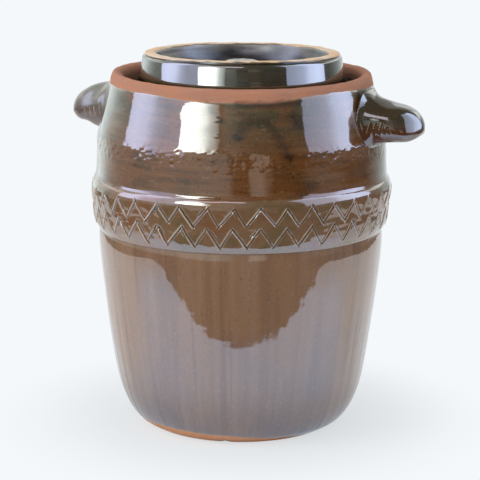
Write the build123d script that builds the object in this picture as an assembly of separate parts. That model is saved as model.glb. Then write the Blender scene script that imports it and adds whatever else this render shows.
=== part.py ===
from build123d import *

import os

# A stoneware pickle jar with a water channel round its mouth and a lid that stands in the channel.
# Millimetres, +Z up. The origin is the middle of the resting face, and the lug handles lie on the X axis.

# Lower section: the floor and the wall up to the join that the band covers
foot_radius = 75.6
belly_radius = 114.3
lower_height = 161.0
floor_thickness = 13.0
wall_thickness = 9.5

# Raised band, pressed into a shallow seat over the join
band_height = 43.0
band_seat_depth = 1.3
band_swell = 6.1
join_height_share = 0.5

# Upper section: from the band to the rim of the water channel
shoulder_radius = 116.9
rim_radius = 104.6
upper_height = 82.5
rim_width = 10.4
rim_drop = 8.5

# Water channel and the neck inside it
channel_depth = 46.5
channel_gap = 12.9
shelf_thickness = 10.0
cove_radius = 6.0
neck_wall = 7.5
neck_clearance = 3.0

# Lid: a dish on a skirt that stands on the channel's floor
seat_clearance = 0.3
skirt_gap = 6.5
skirt_wall = 7.0
skirt_height = 32.2
dish_height = 27.5
dish_floor = 7.0
dish_overhang = 9.3
dish_rim_width = 9.5

# Knob in the middle of the dish
knob_radius = 15.0
knob_height = 14.5

# Lug handles
handle_projection = 42.0
handle_width = 47.0
handle_rise = 22.5
handle_fall = 12.8
handle_drop = 37.0
handle_angles = {"lug_handle_right": 0, "lug_handle_left": 180}

# Incised zigzag
zigzag_count = 37
groove_width = 2.2
groove_depth = 1.2
overrun = 2.0

# Outlines as shares, as chains of arcs: each arc takes three points, and the next begins at its last.
# The first number runs up the piece, from its bottom to its top. The second runs across: from the foot
# to the belly, from the shoulder to the rim, and from the skirt to the lid's widest.
lower_wall_shares = (
    (0, 0), (0.032, 0.215), (0.09, 0.395), (0.17, 0.54), (0.26, 0.64), (0.5, 0.81), (0.72, 0.925), (0.87, 0.982), (1, 1)
)
upper_wall_shares = ((0, 0), (0.24, 0.085), (0.48, 0.31), (0.73, 0.63), (1, 1))
dish_outline_shares = ((0, 0), (0.16, 0.5), (0.31, 0.8), (0.47, 0.96), (0.64, 1), (0.82, 0.9), (1, 0.59))
# Inside corner of the floor: across from the floor's edge to the wall, and up from the floor.
floor_corner_shares = ((1, 1), (0.843, 0.498), (0.5, 0.138), (0.27, 0.035), (0, 0))
# Rim of the jar: in from the wall by the rim's width, and up by its drop.
rim_shares = ((0, 0), (0.135, 0.62), (0.55, 1), (0.865, 0.82), (1, 0.35))
# The hollow of the dish: across from its middle to its rim, and up from its floor to its rim.
dish_hollow_shares = ((0.794, 0), (0.919, 0.15), (0.99, 0.415), (1.013, 0.707), (1, 1))
# Knob: across from its middle to its widest, and up from its foot to its top.
knob_outline_shares = ((0.74, 0), (0.68, 0.24), (0.86, 0.46), (1, 0.7), (0.893, 0.917), (0.773, 0.979), (0.62, 1))
# Band: up from its bottom to its top, and out from the belly by the swell.
band_outline_shares = ((0, 0.03), (0.093, 0.28), (0.21, 0.51), (0.535, 0.8), (0.837, 1), (0.92, 0.87))
# Zigzag rows: the top and bottom of each row as shares of the band's height.
zigzag_row_shares = ((0.82, 0.505), (0.45, 0.125))
# Handle: out from the wall to the tip, then half of the width, the rise and the fall at that place.
handle_section_shares = (
    (-0.12, 1, 1, 1),
    (0.12, 0.95, 0.9, 0.98),
    (0.36, 0.88, 0.79, 0.93),
    (0.58, 0.79, 0.73, 0.87),
    (0.76, 0.65, 0.62, 0.78),
    (0.9, 0.45, 0.42, 0.58),
    (0.975, 0.22, 0.2, 0.32),
)
tip_rise_share = -0.03

# Heights that follow from the sizes above
band_top = lower_height + band_height
join_height = lower_height + band_height * join_height_share
rim_height = band_top + upper_height
wall_end = rim_height - rim_drop
channel_floor = rim_height - channel_depth
shelf_underside = channel_floor - shelf_thickness
skirt_bottom = channel_floor + seat_clearance
skirt_top = skirt_bottom + skirt_height
neck_top = skirt_top - neck_clearance
dish_top = skirt_top + dish_height
dish_floor_top = skirt_top + dish_floor
knob_top = dish_floor_top + knob_height
handle_level = rim_height - handle_drop

# Radii that follow, from the rim inwards
rim_bore = rim_radius - rim_width
dish_radius = rim_bore - channel_gap
skirt_radius = dish_radius - dish_overhang
skirt_bore = skirt_radius - skirt_wall
neck_radius = skirt_bore - skirt_gap
neck_bore = neck_radius - neck_wall
dish_top_radius = skirt_radius + dish_overhang * dish_outline_shares[-1][1]
dish_hollow_radius = dish_top_radius - dish_rim_width
band_seat_radius = belly_radius - band_seat_depth


def lower_point(share, inset=0.0):
    """Point of the lower wall's outline, moved inwards by the inset."""
    up, across = share
    return (foot_radius + (belly_radius - foot_radius) * across - inset, lower_height * up)


def upper_point(share):
    up, across = share
    return (shoulder_radius + (rim_radius - shoulder_radius) * across, band_top + (wall_end - band_top) * up)


def rim_point(share):
    inwards, up = share
    return (rim_radius - rim_width * inwards, wall_end + rim_drop * up)


def band_point(share):
    up, out = share
    return (belly_radius + band_swell * out, lower_height + band_height * up)


def radius_at(height, points):
    """Radius at a height, between the two nearest points of an outline that runs upwards."""
    for (radius_a, height_a), (radius_b, height_b) in zip(points, points[1:]):
        if height <= height_b:
            return radius_a + (radius_b - radius_a) * (height - height_a) / (height_b - height_a)
    return points[-1][0]


upper_outline = [upper_point(share) for share in upper_wall_shares]
rim_outline = [rim_point(share) for share in rim_shares]
band_outline = [band_point(share) for share in band_outline_shares]
channel_radius = radius_at(channel_floor, upper_outline) - wall_thickness


def arcs(points):
    """Chain of arcs through an odd number of points, three at a time."""
    return [ThreePointArc(*points[i : i + 3]) for i in range(0, len(points) - 2, 2)]


def turned(*parts):
    """A solid turned about the Z axis from a closed outline in the XZ plane: lists of arcs, and rows of points."""
    edges = []
    for part in parts:
        edges += part if isinstance(part, list) else Polyline(*part).edges()
    return revolve(make_face([Plane.XZ * edge for edge in edges]), Axis.Z, 360)


def jar_lower():
    """Floor and wall up to the join, with the lower half of the seat for the band."""
    outer = [lower_point(share) for share in lower_wall_shares]
    inner = [lower_point(share, wall_thickness) for share in reversed(lower_wall_shares[4:])]
    corner_radius, corner_height = inner[-1]
    floor_edge = foot_radius - wall_thickness
    corner = [
        (floor_edge + (corner_radius - floor_edge) * across, floor_thickness + (corner_height - floor_thickness) * up)
        for across, up in floor_corner_shares
    ]
    seat = ((band_seat_radius, lower_height), (band_seat_radius, join_height))
    return turned(
        ((0, floor_thickness), (0, 0), outer[0]),
        arcs(outer),
        (outer[-1], *seat, (inner[0][0], join_height), inner[0]),
        arcs(inner),
        arcs(corner),
        (corner[-1], (0, floor_thickness)),
    )


def jar_upper():
    """Wall from the join to the rim, which is also the outer wall of the water channel."""
    cove_top = (channel_radius, channel_floor + cove_radius)
    rim_foot = rim_outline[-1]
    middle_height = (cove_top[1] + rim_foot[1]) / 2
    channel_wall = [rim_foot, (radius_at(middle_height, upper_outline) - wall_thickness, middle_height), cove_top]
    bore_at_join = (belly_radius - wall_thickness, join_height)
    return turned(
        ((band_seat_radius, join_height), (band_seat_radius, band_top), upper_outline[0]),
        arcs(upper_outline),
        arcs(rim_outline),
        arcs(channel_wall),
        (cove_top, (channel_radius, shelf_underside), bore_at_join, (band_seat_radius, join_height)),
    )


def channel_shelf():
    """Ring that closes the shoulder and is the floor of the water channel."""
    cove_foot = (channel_radius - cove_radius, channel_floor)
    cove_top = (channel_radius, channel_floor + cove_radius)
    underside = ((channel_radius, shelf_underside), (neck_bore, shelf_underside), (neck_bore, channel_floor))
    return turned((cove_top, *underside, cove_foot), [TangentArc(cove_foot, cove_top, tangent=(1, 0))])


def neck_collar():
    """Inner wall of the water channel, round the mouth, with a rounded lip."""
    lip_radius = neck_wall / 2
    inside = (neck_bore, neck_top - lip_radius)
    outside = (neck_radius, neck_top - lip_radius)
    crown = (neck_bore + lip_radius, neck_top)
    return turned(
        (inside, (neck_bore, channel_floor), (neck_radius, channel_floor), outside),
        arcs([outside, crown, inside]),
    )


def zigzag_stroke(top, bottom, leaning):
    """Wedge that cuts one slanted stroke into the band, between two heights and half a step apart."""
    half_step = 180 / zigzag_count
    start = Vector(radius_at(top, band_outline), 0, top)
    end = Vector(radius_at(bottom, band_outline), 0, bottom).rotate(Axis.Z, half_step * leaning)
    along = end - start
    outward = Vector(start.X + end.X, start.Y + end.Y, 0)
    reach = groove_width / 2 * (groove_depth + overrun) / groove_depth
    wedge = Polyline((-reach, overrun), (0, -groove_depth), (reach, overrun), close=True)
    plane = Plane(origin=start, x_dir=outward.cross(along), z_dir=along)
    return extrude(plane * make_face(wedge), along.length)


def zigzag_band():
    """Raised band over the join, with two rows of incised zigzags."""
    face = band_outline + [(shoulder_radius, band_top)]
    ring = turned(
        ((shoulder_radius, band_top), (band_seat_radius, band_top), (band_seat_radius, lower_height), face[0]),
        arcs(face),
    )
    cutters = []
    for row_shares in zigzag_row_shares:
        heights = [lower_height + band_height * share for share in row_shares]
        for leaning in (1, -1):
            stroke = zigzag_stroke(*heights, leaning)
            cutters += [Rotation(0, 0, 360 / zigzag_count * index) * stroke for index in range(zigzag_count)]
    return ring - cutters


def envelope():
    """The upper section's outer shape without its hollow, which the handles are trimmed to."""
    top = (rim_radius, rim_height)
    return turned(
        ((0, rim_height), (0, band_top), upper_outline[0]),
        arcs(upper_outline),
        (upper_outline[-1], top, (0, rim_height)),
    )


def lug_handle(angle):
    """Solid lug: flat-topped and rounded, thinning to its tip."""
    wall = radius_at(handle_level, upper_outline)
    sections = []
    for out, width_share, rise_share, fall_share in handle_section_shares:
        rise = handle_rise * rise_share
        fall = handle_fall * fall_share
        middle = Vector(wall + handle_projection * out, 0, handle_level + (rise - fall) / 2)
        plane = Plane(origin=middle, x_dir=(0, 1, 0), z_dir=(1, 0, 0))
        sections.append(make_face(plane * Ellipse(handle_width / 2 * width_share, (rise + fall) / 2).edge()))
    tip = Vertex(wall + handle_projection, 0, handle_level + handle_rise * tip_rise_share)
    return Rotation(0, 0, angle) * (loft(sections + [tip]) - envelope())


def lid_dish():
    """Dish with a rounded rim, flat underneath where the skirt meets it."""
    outer = [(skirt_radius + dish_overhang * across, skirt_top + dish_height * up) for up, across in dish_outline_shares]
    depth = dish_top - dish_floor_top
    hollow = [(dish_hollow_radius * across, dish_floor_top + depth * up) for across, up in dish_hollow_shares]
    return turned(
        (hollow[0], (0, dish_floor_top), (0, skirt_top), outer[0]),
        arcs(outer),
        (outer[-1], hollow[-1]),
        arcs(hollow),
    )


def lid_skirt():
    """Ring under the dish that stands in the water and seals the mouth, with a rounded lower edge."""
    edge = skirt_wall / 4
    outside = (skirt_radius, skirt_bottom + edge)
    inside = (skirt_bore, skirt_bottom + edge)
    foot_outside = (skirt_radius - edge, skirt_bottom)
    foot_inside = (skirt_bore + edge, skirt_bottom)
    return turned(
        (inside, (skirt_bore, skirt_top), (skirt_radius, skirt_top), outside),
        [TangentArc(outside, foot_outside, tangent=(0, -1))],
        (foot_outside, foot_inside),
        [TangentArc(foot_inside, inside, tangent=(-1, 0))],
    )


def lid_knob():
    """Button-shaped knob on the dish's floor."""
    outline = [(knob_radius * across, dish_floor_top + knob_height * up) for across, up in knob_outline_shares]
    return turned((outline[-1], (0, knob_top), (0, dish_floor_top), outline[0]), arcs(outline))


nodes = {
    "jar_lower": jar_lower(),
    "jar_upper": jar_upper(),
    "channel_shelf": channel_shelf(),
    "neck_collar": neck_collar(),
    "zigzag_band": zigzag_band(),
    "lid_dish": lid_dish(),
    "lid_skirt": lid_skirt(),
    "lid_knob": lid_knob(),
}
for handle_name, handle_angle in handle_angles.items():
    nodes[handle_name] = lug_handle(handle_angle)

os.makedirs("parts", exist_ok=True)
for node_name, solid in nodes.items():
    solid.label = node_name
    export_step(solid, f"parts/{node_name}.step")
    print(node_name, round(solid.volume / 1000, 1), "cm3")
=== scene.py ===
import math

import bpy
import numpy as np
from mathutils import Matrix, Vector


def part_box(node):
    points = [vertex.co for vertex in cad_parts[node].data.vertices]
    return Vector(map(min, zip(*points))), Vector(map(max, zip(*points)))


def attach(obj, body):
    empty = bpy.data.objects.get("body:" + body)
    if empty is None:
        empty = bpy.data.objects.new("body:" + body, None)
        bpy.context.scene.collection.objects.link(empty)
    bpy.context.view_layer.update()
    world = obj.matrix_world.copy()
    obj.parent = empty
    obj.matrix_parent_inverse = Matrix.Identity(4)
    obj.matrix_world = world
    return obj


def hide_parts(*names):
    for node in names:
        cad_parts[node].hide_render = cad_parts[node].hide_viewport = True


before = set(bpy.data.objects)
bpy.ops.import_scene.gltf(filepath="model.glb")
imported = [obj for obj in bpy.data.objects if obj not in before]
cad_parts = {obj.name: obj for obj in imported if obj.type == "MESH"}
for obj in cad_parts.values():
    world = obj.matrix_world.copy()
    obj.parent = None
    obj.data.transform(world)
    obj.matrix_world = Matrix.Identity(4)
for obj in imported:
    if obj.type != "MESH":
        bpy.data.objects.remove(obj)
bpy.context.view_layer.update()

# A water seal pickle jar: thrown stoneware under a glossy iron glaze, with bare clay where it stood and
# where its rims touched in the kiln. Outlines are in millimetres, Blender's objects in metres.
mm = 0.001
seed = 7
denseStep = 0.2  # mm, spacing along an outline before its rows are chosen
rowTurn = 0.25  # radians, the most that an outline turns from one row to the next
closestRows = 0.25  # mm
photoTurn = 24.0  # degrees round the jar from its front to the photograph's camera
allGlazed = -9.0  # mm, so far inside the glaze line that no clay shows


def boxOf(node):
    # outer radius, lowest and highest point of a turned node, in mm
    low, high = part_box(node)
    return (high[0] - low[0]) / 2 / mm, low[2] / mm, high[2] / mm


shoulderRadius, joinHeight, rimHeight = boxOf("jar_upper")
bandRadius, bandBottom, bandTop = boxOf("zigzag_band")
bellyRadius = boxOf("jar_lower")[0]
dishRadius, dishBottom, dishTop = boxOf("lid_dish")
skirtRadius, skirtBottom, skirtTop = boxOf("lid_skirt")
collarRadius, channelFloor, collarTop = boxOf("neck_collar")
shelfRadius, shelfBottom, shelfTop = boxOf("channel_shelf")
knobRadius, knobBottom, knobTop = boxOf("lid_knob")


# Outlines, as points of (radius, height)


def between(t, low, high, first, second):
    # straight from the first point to the second as t goes from low to high
    return (high - t) / (high - low) * first + (t - low) / (high - low) * second


def smoothLine(points):
    # a curve through the points (centripetal Catmull-Rom), sampled every denseStep
    p = np.array(points, float)
    p = np.vstack([2 * p[0] - p[1], p, 2 * p[-1] - p[-2]])
    pieces = []
    for a, b, c, d in zip(p[:-3], p[1:-2], p[2:-1], p[3:]):
        tb = math.sqrt(np.linalg.norm(b - a))
        tc = tb + math.sqrt(np.linalg.norm(c - b))
        td = tc + math.sqrt(np.linalg.norm(d - c))
        count = max(2, int(np.linalg.norm(c - b) / denseStep))
        t = np.linspace(tb, tc, count, endpoint=False)[:, None]
        ab, bc, cd = between(t, 0, tb, a, b), between(t, tb, tc, b, c), between(t, tc, td, c, d)
        pieces.append(between(t, tb, tc, between(t, 0, tc, ab, bc), between(t, tb, td, bc, cd)))
    return np.vstack(pieces + [p[-2:-1]])


def straightLine(points):
    pieces = []
    for a, b in zip(points[:-1], points[1:]):
        a, b = np.array(a, float), np.array(b, float)
        count = max(2, int(np.linalg.norm(b - a) / denseStep))
        pieces.append(a + (b - a) * np.linspace(0, 1, count, endpoint=False)[:, None])
    return np.vstack(pieces + [np.array([points[-1]], float)])


def outlineRows(runs, soften, closed):
    # joins runs of (line, row spacing), rounds the corners between them and chooses the rows:
    # as far apart as the run says on flat stretches, and closer where the outline bends
    line = np.vstack([run for run, _ in runs])
    spacing = np.concatenate([np.full(len(run), step, float) for run, step in runs])
    keep = np.concatenate([[True], np.linalg.norm(np.diff(line, axis=0), axis=1) > 0.01])
    line, spacing = line[keep], spacing[keep]
    reach = int(3 * soften / denseStep) + 1
    weights = np.exp(-0.5 * (np.arange(-reach, reach + 1) * denseStep / soften) ** 2)
    weights /= weights.sum()
    padded = np.pad(line, ((reach, reach), (0, 0)), mode="wrap" if closed else "edge")
    smooth = np.stack([np.convolve(padded[:, k], weights, mode="valid") for k in (0, 1)], axis=1)
    if closed:
        smooth = np.vstack([smooth, smooth[:1]])
        spacing = np.append(spacing, spacing[0])
    else:
        smooth[0], smooth[-1] = line[0], line[-1]
    steps = np.linalg.norm(np.diff(smooth, axis=0), axis=1)
    along = np.concatenate([[0], np.cumsum(steps)])
    apart = along + np.arange(len(along)) * 1e-9
    tangent = np.gradient(smooth, apart, axis=0)
    heading = np.unwrap(np.arctan2(tangent[:, 1], tangent[:, 0]))
    bend = np.abs(np.gradient(heading, apart))
    local = np.clip(np.minimum(spacing, rowTurn / (bend + 1e-6)), closestRows, None)
    density = np.concatenate([[0], np.cumsum(steps / ((local[1:] + local[:-1]) / 2))])
    wanted = np.linspace(0, density[-1], int(math.ceil(density[-1])) + 1)
    at = np.interp(wanted[:-1] if closed else wanted, density, along)
    return np.stack([np.interp(at, along, smooth[:, k]) for k in (0, 1)], axis=1)


def radiusOn(line, heights):
    # radius of an outline that runs upwards, at the given heights
    line = np.array(line, float)
    return np.interp(heights, line[:, 1], line[:, 0])


# Relief of the clay


def ripples(angles, heights, waves, radius=bellyRadius):
    # random sine waves that close round the jar: waves gives their usual size, their length round it and up
    # it in mm, how many there are, and a number of their own for the seed
    size, aroundMm, upMm, count, seedOffset = waves
    rng = np.random.default_rng(seed + seedOffset)
    total = np.zeros(np.broadcast(angles, heights).shape)
    for _ in range(count):
        turns = round(2 * math.pi * radius / aroundMm * rng.normal())
        climb = 2 * math.pi / upMm * rng.normal()
        total += np.sin(turns * angles + climb * heights + rng.uniform(0, 2 * math.pi))
    return size * (total / math.sqrt(count / 2))


def smoothStep(low, high, value):
    t = np.clip((value - low) / (high - low), 0, 1)
    return t * t * (3 - 2 * t)


def within(limits, value):
    # 0 outside the first and last limit, and 1 between the two inner ones
    low, lowFull, highFull, high = limits
    return smoothStep(low, lowFull, value) * smoothStep(high, highFull, value)


def outerFace(outward):
    # 1 where the outline faces out, 0 on its level and inner stretches
    return smoothStep(0.3, 0.7, outward)


def towardsPhoto(angles):
    # 1 towards the photograph's camera, -1 at the back
    return np.cos(angles - math.radians(photoTurn - 90))


def aroundTable(angles, table):
    # periodic value from (degrees round the jar, value) pairs, smoothed over 5 degrees each way
    degrees = np.array([pair[0] for pair in table], float)
    values = np.array([pair[1] for pair in table], float)
    wrapped = np.degrees(angles) % 360
    order = np.argsort(degrees % 360)
    degrees, values = (degrees % 360)[order], values[order]
    plain = np.interp(wrapped, degrees, values, period=360)
    near = [np.interp(wrapped + shift, degrees, values, period=360) for shift in (-5, -2.5, 2.5, 5)]
    return (2 * plain + sum(near)) / 6


thrown = {
    "wobble": (0.35, 420, 260, 10, 1),  # slow, shared by all the jar's pieces, so that they stay together
    "rings": (0.014, 420, 6, 26, 2),  # left by the potter's fingers
    "lumps": (0.09, 57.2, 26, 30, 3),
}


def thrownRelief(angles, heights, strength=1.0):
    return strength * (ripples(angles, heights, thrown["rings"]) + ripples(angles, heights, thrown["lumps"]))


# Meshes


def addObject(name, data):
    made = bpy.data.objects.new(name, data)
    bpy.context.scene.collection.objects.link(made)
    return made


def meshFromGrid(name, points, closedUp, attributes, poles=False):
    # a closed surface from rows of points (mm) that run round; poles closes the first and last row to a point

    def listed(grid):
        # the grid's values in the order of the mesh's points
        grid = np.asarray(grid, float)
        inner = (grid[1:-1] if poles else grid).reshape((-1,) + grid.shape[2:])
        return np.concatenate([grid[:1].mean(1), inner, grid[-1:].mean(1)]) if poles else inner

    rows, columns = points.shape[:2]
    start, rowCount = (1, rows - 2) if poles else (0, rows)
    ring = np.arange(columns)
    nextRing = (ring + 1) % columns
    faces = []
    for row in range(rowCount if closedUp else rowCount - 1):
        a = start + row * columns
        b = start + (row + 1) % rowCount * columns
        faces += np.stack([a + ring, a + nextRing, b + nextRing, b + ring], axis=1).tolist()
    if poles:
        top = start + (rowCount - 1) * columns
        faces += np.stack([0 * ring, 1 + nextRing, 1 + ring], axis=1).tolist()
        faces += np.stack([0 * ring + top + columns, top + ring, top + nextRing], axis=1).tolist()
    mesh = bpy.data.meshes.new(name)
    mesh.from_pydata((listed(points) * mm).tolist(), [], faces)
    for label, values in attributes.items():
        values = listed(values)
        kind, field = ("FLOAT_VECTOR", "vector") if values.ndim > 1 else ("FLOAT", "value")
        layer = mesh.attributes.new(label, kind, "POINT")
        layer.data.foreach_set(field, values.reshape(-1).astype(np.float32))
    mesh.shade_smooth()
    mesh.update()
    return addObject(name, mesh)


def turnedPiece(name, fineness, runs, relief, attributes, closed=True, shared=True, lift=None):
    # a piece thrown on the wheel: its outline turned round, with relief along its normals; shared pieces take
    # the jar's wobble and wear its patterns at one scale; lift raises points by their place
    columns, soften = fineness  # points round it, and the mm over which its corners are softened
    rows = outlineRows(runs, soften, closed)
    angles = np.linspace(0, 2 * math.pi, columns, endpoint=False)[None, :]
    radius, height = rows[:, :1], rows[:, 1:]
    if closed:
        ahead, behind = np.roll(rows, -1, axis=0), np.roll(rows, 1, axis=0)
    else:
        ahead, behind = np.vstack([rows[1:], rows[-1:]]), np.vstack([rows[:1], rows[:-1]])
    along = ahead - behind
    along /= np.linalg.norm(along, axis=1)[:, None] + 1e-9
    outward, upward = along[:, 1:], -along[:, :1]
    push = relief(angles, height, radius, outward) if relief else np.zeros((len(rows), columns))
    r = radius + outward * push
    z = height + upward * push
    if lift:
        z = z + lift(angles, height)
    if shared:
        r = r + ripples(angles, height, thrown["wobble"]) * np.clip(radius / bellyRadius, 0, 1)
    points = np.stack([r * np.cos(angles), r * np.sin(angles), z + 0 * angles], axis=2)
    reach = mm * (bellyRadius if shared else r)
    turned = [reach * np.cos(angles) + 0 * z, reach * np.sin(angles) + 0 * z, z * mm + 0 * angles]
    layers = {"turned": np.stack(turned, axis=2)}
    for label, worker in attributes.items():
        layers[label] = worker(angles, height, radius, outward) + 0 * angles
    return meshFromGrid(name, points, closed, layers, poles=not closed)


# Materials


def linearColour(hexCode):
    channels = [int(hexCode[i : i + 2], 16) / 255 for i in (1, 3, 5)]
    return [c / 12.92 if c <= 0.04045 else ((c + 0.055) / 1.055) ** 2.4 for c in channels] + [1.0]


def addNode(tree, kind, inputs=None, output=0, **settings):
    # adds a node with its settings, fills inputs with values or other nodes' outputs, and returns one output
    node = tree.nodes.new("ShaderNode" + kind)
    for label, value in settings.items():
        setattr(node, label, value)
    for label, value in (inputs or {}).items():
        if isinstance(value, bpy.types.NodeSocket):
            tree.links.new(value, node.inputs[label])
        else:
            node.inputs[label].default_value = value
    return node.outputs[output] if len(node.outputs) else node


def newMaterial(name):
    material = bpy.data.materials.new(name)
    material.use_nodes = True
    material.node_tree.nodes.clear()
    return material, material.node_tree


def grainsOf(tree, place, sizes):
    # one noise for each named grain: its size in mm, how far it is drawn out along x, y and z, and its detail
    grains = {}
    for name, (sizeMm, stretch, detail) in sizes.items():
        scale = [1 / (sizeMm * mm * s) for s in stretch]
        scaled = addNode(tree, "VectorMath", {0: place, 1: scale}, operation="MULTIPLY")
        noise = {"Vector": scaled, "Scale": 1.0, "Detail": detail, "Roughness": 0.55}
        grains[name] = addNode(tree, "TexNoise", noise)
    return grains


def tinted(tree, colour, grains, tints):
    # lays tints over a colour: where a grain's value rises from low to high, up to a strength
    for grain, low, high, strength, hexCode in tints:
        span = {"Value": grains[grain], "From Min": low, "From Max": high, "To Max": strength}
        share = addNode(tree, "MapRange", span, interpolation_type="SMOOTHSTEP")
        colours = {6: colour, 7: linearColour(hexCode)}
        colour = addNode(tree, "Mix", {0: share, **colours}, output=2, data_type="RGBA")
    return colour


def reliefOf(tree, grains, depths):
    # height in metres from grains and their depths in mm
    total = None
    for grain, depthMm in depths.items():
        part = addNode(tree, "Math", {0: grains[grain], 1: depthMm * mm}, operation="MULTIPLY")
        total = part if total is None else addNode(tree, "Math", {0: total, 1: part}, operation="ADD")
    return total


stoneware = {
    "clayGrains": {
        "grog": (1.6, (1, 1, 1), 4), "patches": (24, (1, 1, 0.3), 3), "scratches": (1.1, (16, 16, 1), 3),
        "ragged": (7, (2.2, 2.2, 1), 3),  # shifts the glaze line
    },
    "clayDepthsMm": {"grog": 0.12, "scratches": 0.1},
    "clayRoughness": 0.88,
    "bodyRoughness": (0.25, 0.45),  # of the coloured glaze under its clear skin
    "bodyIor": 1.28,  # clay under glaze: nearly all the gloss is the coat's
    "cloudRange": {"From Min": 0.3, "From Max": 0.7},  # values that the clouds' noise really takes
    "cloudShift": 0.35,  # of the colour's change up the wall
    "lineWanderMm": 0.4,
    "lineWidthMm": 0.22,
    "thinEdge": (-1.6, -0.1, 0.6),  # from and to, in mm from the glaze line, and strength
    "pooledAndShadeStrength": 0.9,  # strength of the dark: pooled glaze in the strokes and thick runs, and painted shade in the strokes, the lid's groove and the foot's chip
}


def glazedStoneware(name, finish):
    # Stoneware with a glossy iron glaze, dipped and fired: a clear glassy coat over a brown body colour that
    # runs and breaks paler over edges. Where the glaze was wiped off, bare matt clay shows.
    material, tree = newMaterial(name)
    turned = addNode(tree, "Attribute", output="Vector", attribute_name="turned")
    bare = addNode(tree, "Attribute", output="Fac", attribute_name="bareClay")
    masks = {
        "thin": addNode(tree, "Attribute", output="Fac", attribute_name="thinGlaze"),
        "deep": addNode(tree, "Attribute", output="Fac", attribute_name="strokeDepth"),
    }
    height = addNode(tree, "SeparateXYZ", {0: turned}, output="Z")
    grains = grainsOf(tree, turned, {**stoneware["clayGrains"], **finish["grains"]})
    clouds = {"Value": grains["clouds"], **stoneware["cloudRange"]}

    # glaze colour: a change up the wall that the clouds shift, then the finish's own tints
    span = {"Value": height, "From Min": finish["lowMm"] * mm, "From Max": finish["highMm"] * mm}
    climb = addNode(tree, "MapRange", span)
    shift = stoneware["cloudShift"]
    drift = addNode(tree, "MapRange", {**clouds, "To Min": -shift, "To Max": shift})
    climb = addNode(tree, "Math", {0: climb, 1: drift}, operation="ADD", use_clamp=True)
    ends = {6: linearColour(finish["lowHex"]), 7: linearColour(finish["highHex"])}
    base = addNode(tree, "Mix", {0: climb, **ends}, output=2, data_type="RGBA")
    base = tinted(tree, base, grains, finish["tints"])
    base = tinted(tree, base, masks, [("thin", 0, 1, 1.0, finish["thinHex"])])

    # bare clay: throwing marks and grog; the glaze line wanders a little and its edge is thin
    clayTints = (
        ("patches", 0.32, 0.68, 1.0, finish["clayWarmHex"]), ("grog", 0.55, 0.8, 0.35, finish["clayDarkHex"]),
        ("scratches", 0.58, 0.75, 0.3, finish["clayPaleHex"]),
    )
    clay = tinted(tree, linearColour(finish["clayHex"]), grains, clayTints)
    shift = stoneware["lineWanderMm"]
    span = {"Value": grains["ragged"], "From Min": 0.2, "From Max": 0.8, "To Min": -shift, "To Max": shift}
    wander = addNode(tree, "MapRange", span)
    masks["edge"] = addNode(tree, "Math", {0: bare, 1: wander}, operation="ADD")
    colour = tinted(tree, base, masks, [("edge", *stoneware["thinEdge"], finish["edgeHex"])])
    width = stoneware["lineWidthMm"]
    span = {"Value": masks["edge"], "From Min": -width, "From Max": width}
    clayMask = addNode(tree, "MapRange", span, interpolation_type="SMOOTHSTEP")
    colour = addNode(tree, "Mix", {0: clayMask, 6: colour, 7: clay}, output=2, data_type="RGBA")
    # darker where glaze pools in the strokes and thick runs, and painted shade in the strokes, the lid's
    # groove and the foot's chip
    colour = tinted(tree, colour, masks, [("deep", 0, 1, stoneware["pooledAndShadeStrength"], finish["pooledAndShadeHex"])])

    # surface: orange peel and pinholes in the glaze, grain in the clay
    glazeHeight = reliefOf(tree, grains, finish["depthsMm"])
    clayHeight = reliefOf(tree, grains, stoneware["clayDepthsMm"])
    heights = addNode(tree, "Mix", {0: clayMask, 2: glazeHeight, 3: clayHeight}, data_type="FLOAT")
    normal = addNode(tree, "Bump", {"Height": heights, "Distance": 1.0, "Strength": 1.0})
    smoothest, roughest = stoneware["bodyRoughness"]
    glazeRough = addNode(tree, "MapRange", {**clouds, "To Min": smoothest, "To Max": roughest})
    mixed = {0: clayMask, 2: glazeRough, 3: stoneware["clayRoughness"]}
    shader = addNode(tree, "BsdfPrincipled", {
        "Base Color": colour,
        "Roughness": addNode(tree, "Mix", mixed, data_type="FLOAT"),
        "Coat Weight": addNode(tree, "Math", {0: 1.0, 1: clayMask}, operation="SUBTRACT"),
        "Normal": normal,
        "Coat Normal": normal,
        "IOR": stoneware["bodyIor"],
        "Coat IOR": finish["coatIor"],
        "Coat Roughness": finish["coatRoughness"],
    })
    addNode(tree, "OutputMaterial", {"Surface": shader})
    return material


# fired red-brown, with a brownish rim where the glaze runs out
terracotta = {
    "clayHex": "#b8846d", "clayWarmHex": "#c2876a", "clayDarkHex": "#8c6250", "clayPaleHex": "#d2ae9c",
    "edgeHex": "#a08a72",
}
# the lid's rim is of a paler clay
creamClay = {
    "clayHex": "#f0dcc6", "clayWarmHex": "#f0caa0", "clayDarkHex": "#b49a80", "clayPaleHex": "#f6ecde",
    "edgeHex": "#8d8062",
}
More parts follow.
